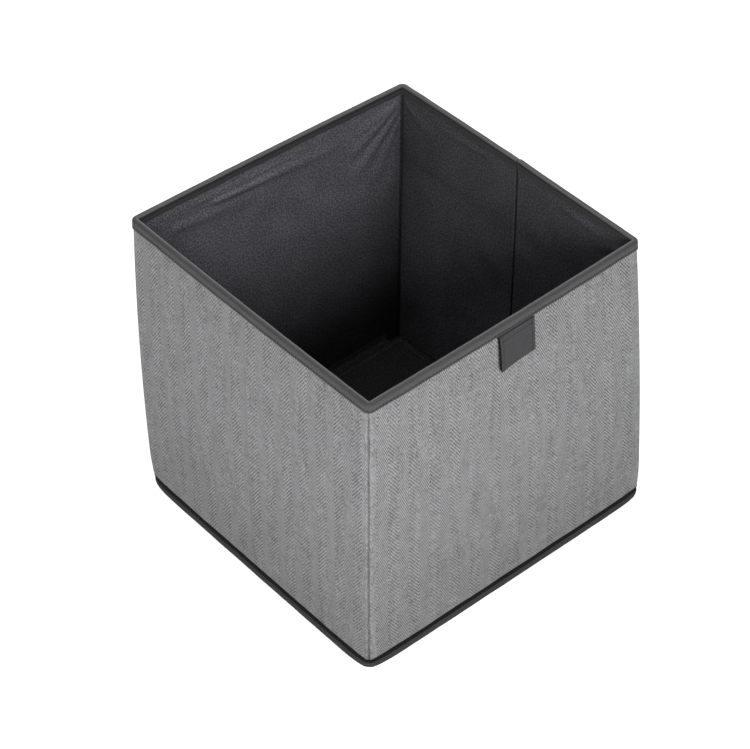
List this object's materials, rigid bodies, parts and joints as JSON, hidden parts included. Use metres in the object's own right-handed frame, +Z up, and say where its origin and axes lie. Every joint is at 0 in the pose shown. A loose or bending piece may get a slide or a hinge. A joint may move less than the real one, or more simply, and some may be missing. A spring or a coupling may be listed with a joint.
{
  "type": "fabric storage bin",
  "caption": "Open-topped folding cube bin with board-stiffened cloth walls, bound rim and base edge, hinged base board and a tape pull tab.",
  "frame": {"origin": "centre of the footprint, on the surface that the bin stands on", "axes": "+Z up through the open top; -Y towards the front wall, which carries the pull tab; +X to the right seen from the front"},
  "size_m": [0.3008, 0.302, 0.298],
  "materials": {
    "outer_fabric": "matt grey herringbone weave",
    "lining": "near-black non-woven cloth, fine speckle",
    "binding_tape": "dark grey woven edge tape",
    "tab_tape": "dark grey woven tape",
    "thread": "dark polyester thread",
    "board": "uncoated greyboard"
  },
  "bodies": {
    "shell": {"outer_fabric_front": "outer_fabric", "outer_fabric_right": "outer_fabric", "outer_fabric_back": "outer_fabric", "outer_fabric_left": "outer_fabric", "front_board": "board", "back_board": "board", "left_rear_board": "board", "left_front_board": "board", "right_front_board": "board", "right_rear_board": "board", "lining_front": "lining", "lining_right": "lining", "lining_back": "lining", "lining_left": "lining", "left_crease_seam": "thread", "right_crease_seam": "thread", "front_left_corner_seam": "thread", "front_right_corner_seam": "thread", "back_left_corner_seam": "thread", "back_right_corner_seam": "thread", "bottom_panel": "lining", "rim_binding": "binding_tape", "base_binding": "binding_tape", "rim_binding_thread": "thread", "base_binding_thread": "thread"},
    "base_board": {"base_board_core": "board", "base_cover_top": "lining", "base_cover_bottom": "lining", "base_cover_thread": "thread", "base_hinge_flap": "lining"},
    "pull_tab": {"pull_tab": "tab_tape", "pull_tab_thread": "thread"}
  },
  "joints": [
    {"name": "base_board_swing", "type": "hinge", "parent": "shell", "child": "base_board", "pos_m": [0, 0.1415, 0.006], "axis": [-1, 0, 0], "range_deg": [0, 90]},
    {"name": "pull_tab_flex", "type": "hinge", "parent": "shell", "child": "pull_tab", "pos_m": [0.006, -0.1498, 0.2877], "axis": [-1, 0, 0], "range_deg": [0, 110]}
  ]
}
